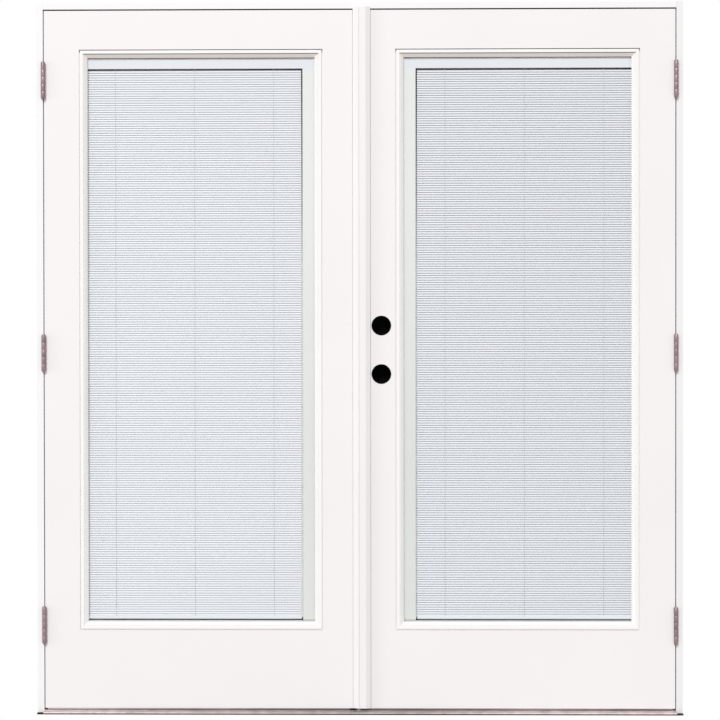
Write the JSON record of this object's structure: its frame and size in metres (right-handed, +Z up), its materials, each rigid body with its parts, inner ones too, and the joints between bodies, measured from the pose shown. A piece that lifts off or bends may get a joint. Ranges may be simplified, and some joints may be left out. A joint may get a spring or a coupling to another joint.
{
  "type": "french doors",
  "caption": "Pair of white outswing glazed doors in a jamb frame with sill, with slat blinds sealed between the panes, butt hinges, flush bolts and bored lock stile.",
  "frame": {"origin": "middle of the sill pan's underside, at the middle of the jamb depth", "axes": "+X to the right across the opening seen from outside, +Y from outside to inside, +Z up"},
  "size_m": [1.861, 0.136, 2.051],
  "materials": {
    "leaf_paint": "smooth white painted fibreglass",
    "frame_paint": "white painted wood",
    "lite_frame": "white moulded plastic, satin",
    "glass": "clear float glass",
    "spacer": "pale grey foam spacer",
    "dark_seal": "black pile seal",
    "blind": "white enamelled aluminium",
    "cord": "white braided polyester cord",
    "channel": "pale grey-green enamel",
    "operator": "white moulded plastic",
    "rubber": "grey foam and vinyl seal",
    "nickel": "satin nickel",
    "cap": "black moulded plastic",
    "pan": "dark composite",
    "threshold": "mill-finish aluminium, warm grey"
  },
  "bodies": {
    "frame": {"left_jamb": "frame_paint", "left_weatherstrip": "rubber", "left_frame_hinges": "nickel", "left_frame_hinge_screws": "nickel", "left_hinge_pins": "nickel", "right_jamb": "frame_paint", "right_weatherstrip": "rubber", "right_frame_hinges": "nickel", "right_frame_hinge_screws": "nickel", "right_hinge_pins": "nickel", "head_jamb": "frame_paint", "sill_pan": "pan", "threshold": "threshold", "threshold_seal": "rubber", "head_weatherstrip": "rubber", "bolt_strike": "nickel"},
    "left_leaf": {"left_slab": "leaf_paint", "left_exterior_lite_frame": "lite_frame", "left_interior_lite_frame": "lite_frame", "left_exterior_pane": "glass", "left_interior_pane": "glass", "left_glass_spacer": "spacer", "left_light_seal": "dark_seal", "left_headrail": "blind", "left_operator_channel": "channel", "left_slats": "blind", "left_ladder_cords": "cord", "left_operator_track": "operator", "left_astragal": "leaf_paint", "left_sweep": "rubber", "left_door_hinges": "nickel", "left_door_hinge_screws": "nickel", "bolt_guides": "nickel", "latch_strikes": "nickel"},
    "right_leaf": {"right_slab": "leaf_paint", "right_exterior_lite_frame": "lite_frame", "right_interior_lite_frame": "lite_frame", "right_exterior_pane": "glass", "right_interior_pane": "glass", "right_glass_spacer": "spacer", "right_light_seal": "dark_seal", "right_headrail": "blind", "right_operator_channel": "channel", "right_slats": "blind", "right_ladder_cords": "cord", "right_operator_track": "operator", "right_astragal": "leaf_paint", "right_sweep": "rubber", "right_door_hinges": "nickel", "right_door_hinge_screws": "nickel", "bore_caps": "cap", "meeting_seal": "rubber"},
    "left_blind": {"left_bottom_rail": "blind"},
    "right_blind": {"right_bottom_rail": "blind"},
    "left_operator": {"left_operator_slider": "operator"},
    "right_operator": {"right_operator_slider": "operator"},
    "top_bolt": {"top_flush_bolt": "nickel"},
    "bottom_bolt": {"bottom_flush_bolt": "nickel"}
  },
  "joints": [
    {"name": "right_leaf_hinge", "type": "hinge", "parent": "frame", "child": "right_leaf", "pos_m": [0.91, -0.065, 1], "axis": [0, 0, 1], "range_deg": [0, 170]},
    {"name": "left_leaf_hinge", "type": "hinge", "parent": "frame", "child": "left_leaf", "pos_m": [-0.91, -0.065, 1], "axis": [0, 0, -1], "range_deg": [0, 170]},
    {"name": "top_bolt_slide", "type": "slide", "parent": "left_leaf", "child": "top_bolt", "axis": [0, 0, 1], "range_m": [0, 0.013]},
    {"name": "bottom_bolt_slide", "type": "slide", "parent": "left_leaf", "child": "bottom_bolt", "axis": [0, 0, -1], "range_m": [0, 0.013]},
    {"name": "left_blind_raise", "type": "slide", "parent": "left_leaf", "child": "left_blind", "axis": [0, 0, 1], "range_m": [0, 1.4], "deforming": ["left_slats", "left_ladder_cords"]},
    {"name": "left_operator_slide", "type": "slide", "parent": "left_leaf", "child": "left_operator", "axis": [0, 0, 1], "range_m": [-1.4, 0]},
    {"name": "right_blind_raise", "type": "slide", "parent": "right_leaf", "child": "right_blind", "axis": [0, 0, 1], "range_m": [0, 1.4], "deforming": ["right_slats", "right_ladder_cords"]},
    {"name": "right_operator_slide", "type": "slide", "parent": "right_leaf", "child": "right_operator", "axis": [0, 0, 1], "range_m": [-1.4, 0]}
  ],
  "couplings": [
    {"joint": "left_operator_slide", "follows": "left_blind_raise", "ratio": -1},
    {"joint": "right_operator_slide", "follows": "right_blind_raise", "ratio": -1}
  ]
}
